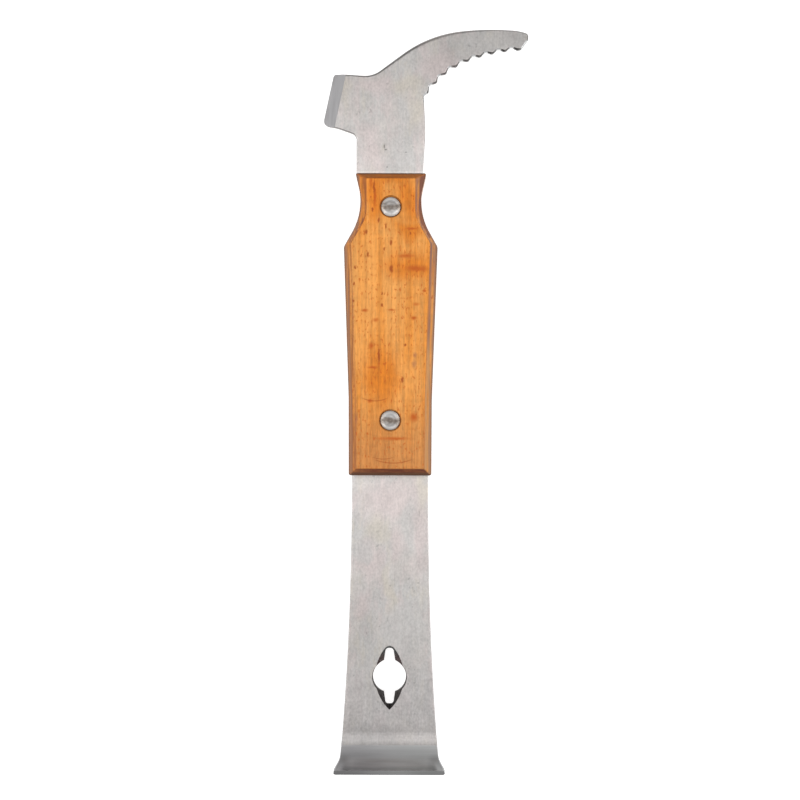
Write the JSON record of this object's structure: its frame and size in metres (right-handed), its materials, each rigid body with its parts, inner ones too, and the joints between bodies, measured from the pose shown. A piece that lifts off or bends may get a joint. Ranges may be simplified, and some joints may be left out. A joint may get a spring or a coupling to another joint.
{
  "type": "hive tool",
  "caption": "Flat steel beekeeper's lever with a toothed hook, chisel nose, nail slot and curled scraper lip, on a riveted two-scale wooden handle.",
  "frame": {"origin": "middle of the handle's length and width, on the flat back face of the rear scale, where the tool rests when it is laid down", "axes": "+Y along the tool from the scraper lip towards the hook, +X across the tool towards the hook's point, +Z out of the front face, the side that the lip curls to"},
  "size_m": [0.0718, 0.2599, 0.0206],
  "materials": {
    "steel": "tumbled and lightly brushed stainless sheet, ground smooth on the nose bevel and the lip",
    "handle_wood": "oiled beech with short dark flecks, sanded chamfers",
    "rivet_steel": "bright domed heads with light hammering marks"
  },
  "bodies": {
    "root": {"blade": "steel", "front_scale": "handle_wood", "rear_scale": "handle_wood", "upper_rivet_post": "rivet_steel", "upper_rivet_socket": "rivet_steel", "lower_rivet_post": "rivet_steel", "lower_rivet_socket": "rivet_steel"}
  },
  "joints": []
}
